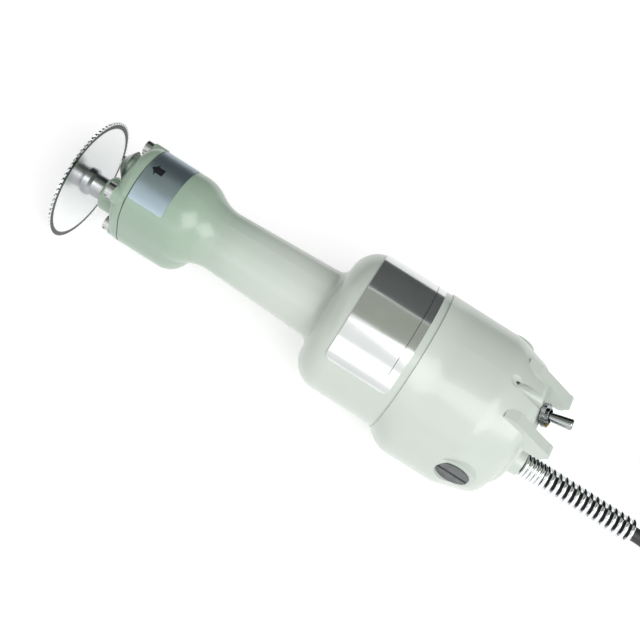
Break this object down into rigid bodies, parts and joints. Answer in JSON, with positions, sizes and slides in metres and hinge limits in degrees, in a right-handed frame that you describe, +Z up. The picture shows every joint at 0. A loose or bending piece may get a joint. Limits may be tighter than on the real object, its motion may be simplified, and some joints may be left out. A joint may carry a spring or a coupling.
{
  "type": "cast cutter",
  "caption": "Mains powered oscillating saw for plaster casts, with a round toothed blade, cast housing, toggle switch and coiled lead.",
  "frame": {"origin": "on the surface that the cutter stands on, below the middle of its length, in its plane of symmetry, the cord and plug left out", "axes": "+X from the blade to the cord end, +Z up towards the side with the plates, +Y to the left seen from the cord end"},
  "size_m": [0.5265, 0.1128, 0.0902],
  "materials": {
    "paint": "glossy pale green enamel on a smooth casting",
    "gasket": "thin fibre gasket",
    "screw_steel": "plated screw heads",
    "blade_steel": "polished blade steel",
    "steel": "ground steel",
    "chrome": "polished chrome plate",
    "lamination": "laminated motor steel",
    "copper": "enamelled copper",
    "aluminium": "cast aluminium",
    "brass": "brass",
    "carbon": "carbon",
    "black_plastic": "dark moulded brush caps",
    "plate": "polished foil, left bare",
    "label_grey": "blue grey foil, left bare apart from an arrow",
    "rubber": "black rubber cord",
    "plug_grey": "black moulded plug"
  },
  "bodies": {
    "root": {"front_housing": "paint", "nose_cap": "paint", "rear_housing": "paint", "cap_gasket": "gasket", "nose_cap_screws": "screw_steel", "oil_plug": "screw_steel", "spindle_front_bearing": "steel", "spindle_rear_bearing": "steel", "neck_bearing": "steel", "motor_front_bearing": "steel", "motor_rear_bearing": "steel", "field_core": "lamination", "field_coils": "copper", "brush_holders": "brass", "carbon_brushes": "carbon", "brush_springs": "steel", "brush_caps": "black_plastic", "switch_body": "chrome", "switch_nut": "chrome", "housing_screws": "screw_steel", "data_plate": "plate", "head_plate": "label_grey", "spring_guard": "chrome", "cord_lead": "rubber", "cord_coil": "rubber", "cord_tail": "rubber", "plug_body": "plug_grey", "plug_blades": "brass"},
    "blade": {"saw_blade": "blade_steel", "outer_blade_washer": "chrome", "inner_blade_flange": "steel", "blade_nut": "chrome", "spindle": "steel", "rocker_fork": "steel"},
    "motor": {"drive_shaft": "steel", "eccentric": "steel", "drive_bearing": "steel", "armature_core": "lamination", "armature_windings": "copper", "commutator": "copper", "cooling_fan": "aluminium"},
    "toggle": {"toggle_lever": "chrome"}
  },
  "joints": [
    {"name": "blade_swing", "type": "hinge", "parent": "root", "child": "blade", "pos_m": [-0.1583, 0, 0.0333], "axis": [1, 0, 0], "range_deg": [-2.8, 2.8]},
    {"name": "motor_spin", "type": "hinge", "parent": "root", "child": "motor", "pos_m": [0, 0, 0.0526], "axis": [1, 0, 0], "continuous": true},
    {"name": "switch_toggle", "type": "hinge", "parent": "root", "child": "toggle", "pos_m": [0.08922, 0, 0.07496], "axis": [0, -1, 0], "range_deg": [0, 28]}
  ]
}
